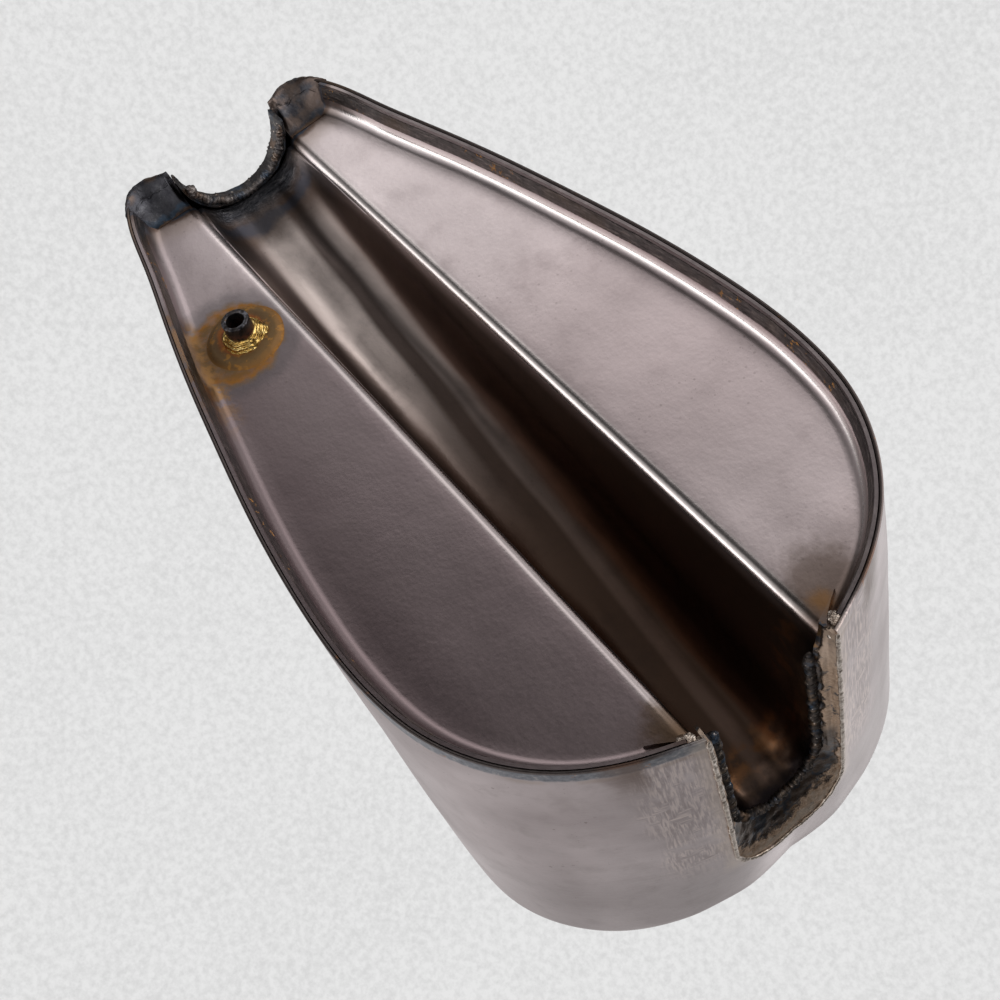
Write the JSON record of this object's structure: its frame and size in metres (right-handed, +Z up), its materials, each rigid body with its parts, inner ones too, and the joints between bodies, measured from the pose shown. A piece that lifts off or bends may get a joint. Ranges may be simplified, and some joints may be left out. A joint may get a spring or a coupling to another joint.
{
  "type": "motorcycle fuel tank",
  "caption": "Teardrop bare-steel motorcycle fuel tank with backbone tunnel, recessed welded bottom pan, brazed outlet nipple and vented screw cap.",
  "frame": {"origin": "centre of the part's bounding box with the cap closed", "axes": "+X towards the front of the motorcycle (the wide end with the mouth), +Y to the rider's left, +Z up; the welded rim lies in one plane of constant Z"},
  "size_m": [0.4286, 0.2434, 0.2492],
  "materials": {
    "skin_steel": "satin bare steel",
    "pan_steel": "satin bare steel",
    "seam_weld": "rough weld scale",
    "saddle_scale": "dark heat scale",
    "weld_bead": "weld bead",
    "weld_lump": "weld bead, heat tinted",
    "strip_steel": "scorched steel",
    "mouth_bead": "ground weld",
    "rusted_disc": "surface rust",
    "nipple_steel": "dark mill scale",
    "braze": "bright braze",
    "neck_steel": "turned steel",
    "cap_chrome": "polished",
    "cap_plug_metal": "turned",
    "cap_rubber": "matt",
    "washer_steel": "bright"
  },
  "bodies": {
    "tank": {"outer_skin": "skin_steel", "bottom_pan": "pan_steel", "seam_weld_left": "seam_weld", "seam_weld_right": "seam_weld", "tail_saddle": "saddle_scale", "tail_saddle_weld": "weld_bead", "tail_notch_weld": "weld_bead", "tail_weld_left": "weld_lump", "tail_weld_right": "weld_lump", "mouth_strip": "strip_steel", "mouth_weld": "mouth_bead", "tunnel_mouth_weld": "weld_bead", "mouth_corner_weld_left": "mouth_bead", "mouth_corner_weld_right": "mouth_bead", "outlet_disc": "rusted_disc", "outlet_nipple": "nipple_steel", "outlet_braze": "braze", "filler_neck": "neck_steel", "filler_neck_weld": "weld_bead"},
    "cap_seal": {"cap_gasket": "cap_rubber", "cap_washer": "washer_steel"},
    "cap": {"cap_cover": "cap_chrome", "cap_plug": "cap_plug_metal", "cap_vent_valve": "cap_rubber"}
  },
  "joints": [
    {"name": "cap_rise", "type": "slide", "parent": "tank", "child": "cap_seal", "axis": [0, 0, 1], "range_m": [0, 0.0113]},
    {"name": "cap_turn", "type": "hinge", "parent": "cap_seal", "child": "cap", "pos_m": [0.0495, 0, 0.1084], "axis": [0, 0, 1], "range_deg": [0, 810]}
  ],
  "couplings": [
    {"joint": "cap_rise", "follows": "cap_turn", "m_per_rad": 0.00079577}
  ]
}
